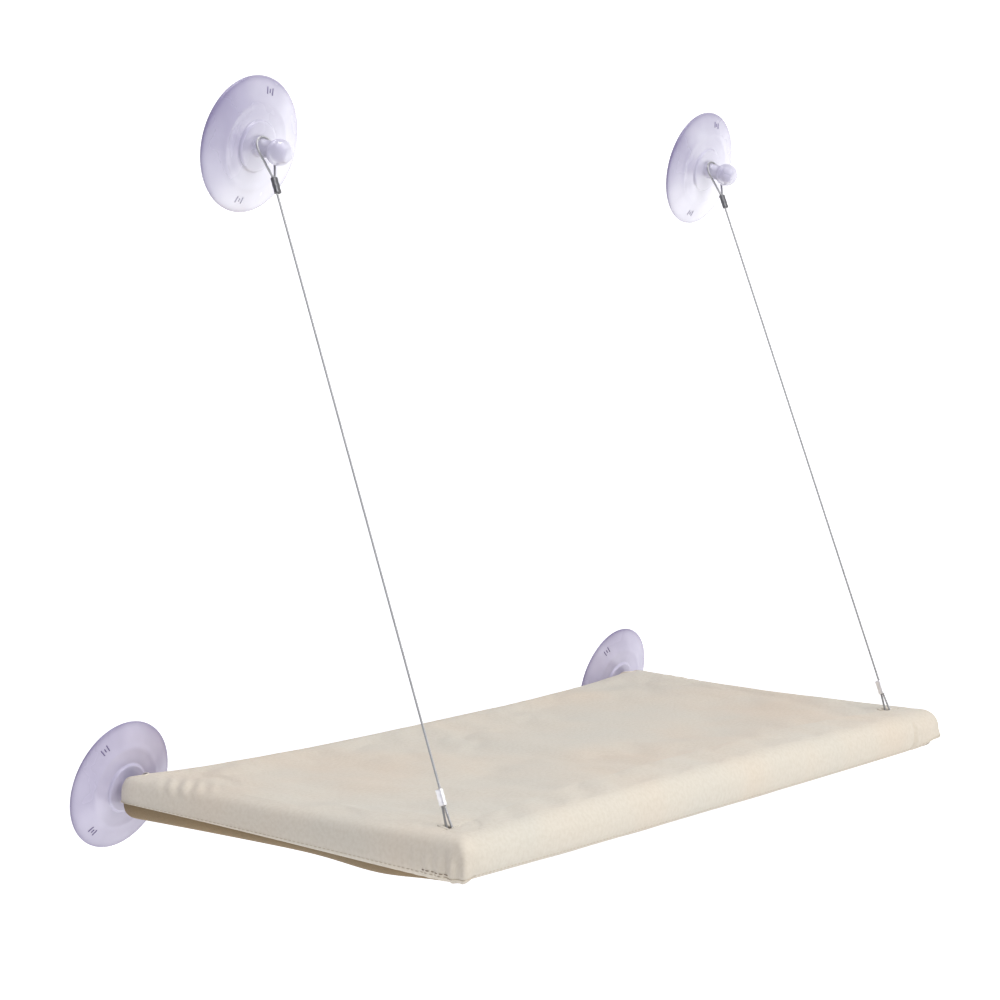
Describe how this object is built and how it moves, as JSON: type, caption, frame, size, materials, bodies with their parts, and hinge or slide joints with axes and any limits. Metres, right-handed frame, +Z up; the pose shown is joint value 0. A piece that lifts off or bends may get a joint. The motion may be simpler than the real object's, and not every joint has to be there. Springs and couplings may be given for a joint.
{
  "type": "window mounted cat perch",
  "caption": "Cloth covered window perch for a cat: a padded, framed platform that hangs on suction cups and looped steel wires, and lifts up against the window.",
  "frame": {"origin": "on the window's surface, midway between the axes of the two lower suction cups", "axes": "+Y points into the window and -Y out along the perch, +Z is up along the window, +X is to the right when the window is faced"},
  "size_m": [0.6362, 0.2889, 0.5],
  "materials": {
    "clear_vinyl": "gloss",
    "steel_wire": "satin",
    "dark_ferrule": "satin",
    "bright_ferrule": "satin",
    "steel_tube": "satin",
    "corner_plastic": "matte",
    "foam": "matte",
    "canvas": "matte",
    "underside_cloth": "matte",
    "closure_tape": "matte"
  },
  "bodies": {
    "window_side": {"upper_suction_cup_left": "clear_vinyl", "upper_suction_cup_right": "clear_vinyl", "lower_suction_cup_left": "clear_vinyl", "lower_suction_cup_right": "clear_vinyl", "cable_left": "steel_wire", "cable_right": "steel_wire", "upper_ferrule_left": "dark_ferrule", "upper_ferrule_right": "dark_ferrule"},
    "platform": {"lower_ferrule_left": "bright_ferrule", "lower_ferrule_right": "bright_ferrule", "rear_rail": "steel_tube", "front_rail": "steel_tube", "left_rail": "steel_tube", "right_rail": "steel_tube", "rear_left_corner": "corner_plastic", "rear_right_corner": "corner_plastic", "front_left_corner": "corner_plastic", "front_right_corner": "corner_plastic", "cable_pin_left": "steel_tube", "cable_pin_right": "steel_tube", "front_foam_sleeve": "foam", "foam_pad": "foam", "cover_top": "canvas", "cover_underside": "underside_cloth", "slit_binding_left": "canvas", "slit_binding_right": "canvas", "closure_flap": "underside_cloth", "hook_strip": "closure_tape", "loop_strip": "closure_tape"}
  },
  "joints": [
    {"name": "platform_fold", "type": "hinge", "parent": "window_side", "child": "platform", "pos_m": [0, -0.0255, 0], "axis": [-1, 0, 0], "range_deg": [0, 40], "deforming": ["cable_left", "cable_right"]}
  ]
}
